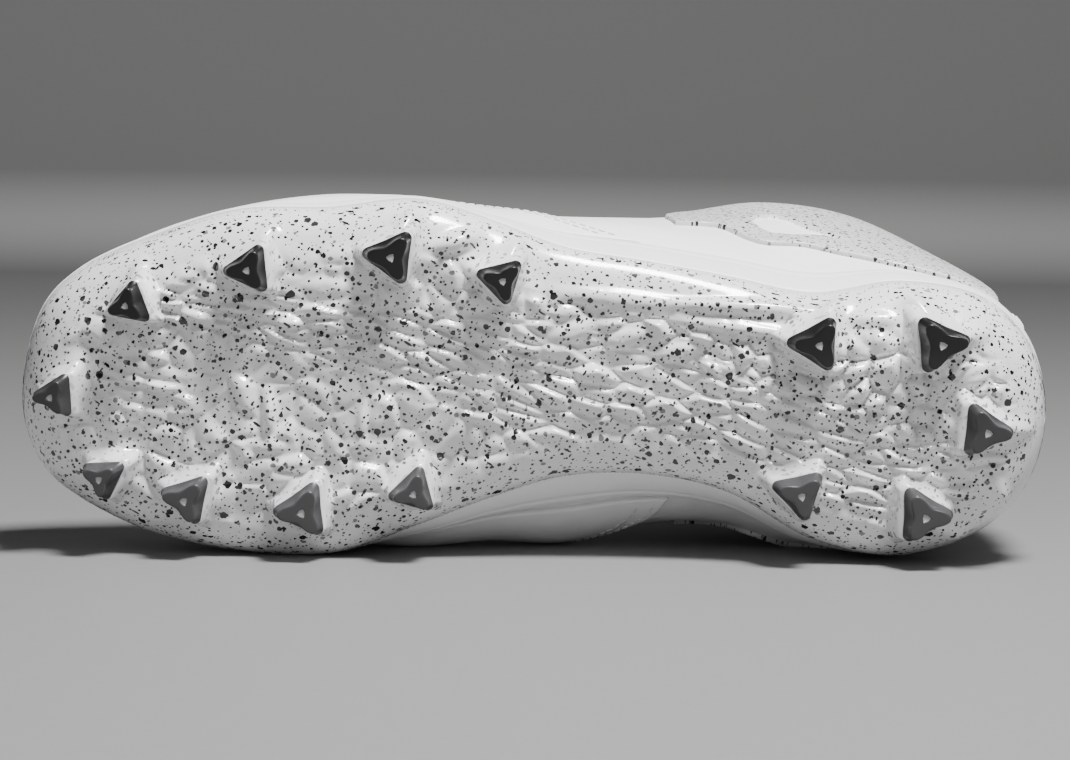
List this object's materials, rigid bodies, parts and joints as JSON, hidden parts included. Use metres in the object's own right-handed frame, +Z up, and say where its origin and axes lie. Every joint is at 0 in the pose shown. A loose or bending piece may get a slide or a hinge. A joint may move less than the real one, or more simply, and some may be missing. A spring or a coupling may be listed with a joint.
{
  "type": "basketball shoe",
  "caption": "Left mid-top basketball shoe with a moulded studded plate, hollow laced upper and ankle wings, lying on its inner side with the sole upright.",
  "frame": {"origin": "centre of the lying shoe's box, on the floor under it", "axes": "+X from the toe towards the heel, the sole faces -Y, +Z up from the inner side, on which the shoe lies, to the outer side"},
  "size_m": [0.3028, 0.152, 0.1061],
  "materials": {
    "speckled_plate": "moulded, glossy, white with a dense black and grey speckle",
    "cap": "moulded, glossy charcoal",
    "foam": "smooth moulded white foam",
    "leather": "smooth white leather, fine grain",
    "speckled_panel": "moulded light grey with a fine dark speckle",
    "lining": "grey knitted lining",
    "lace": "flat woven white lace"
  },
  "bodies": {
    "root": {"plate": "speckled_plate", "cap_toe": "cap", "cap_outer_1": "cap", "cap_outer_2": "cap", "cap_outer_3": "cap", "cap_outer_4": "cap", "cap_inner_1": "cap", "cap_inner_2": "cap", "cap_inner_3": "cap", "cap_inner_4": "cap", "cap_heel_outer_1": "cap", "cap_heel_outer_2": "cap", "cap_heel_back": "cap", "cap_heel_inner_1": "cap", "cap_heel_inner_2": "cap", "midsole": "foam", "insole": "lining", "upper": "leather", "toe_guard": "leather", "heel_counter": "leather", "eyestay_outer": "leather", "eyestay_inner": "leather", "wing_outer": "speckled_panel", "wing_inner": "speckled_panel", "tongue": "lining", "laces": "lace"}
  },
  "joints": []
}
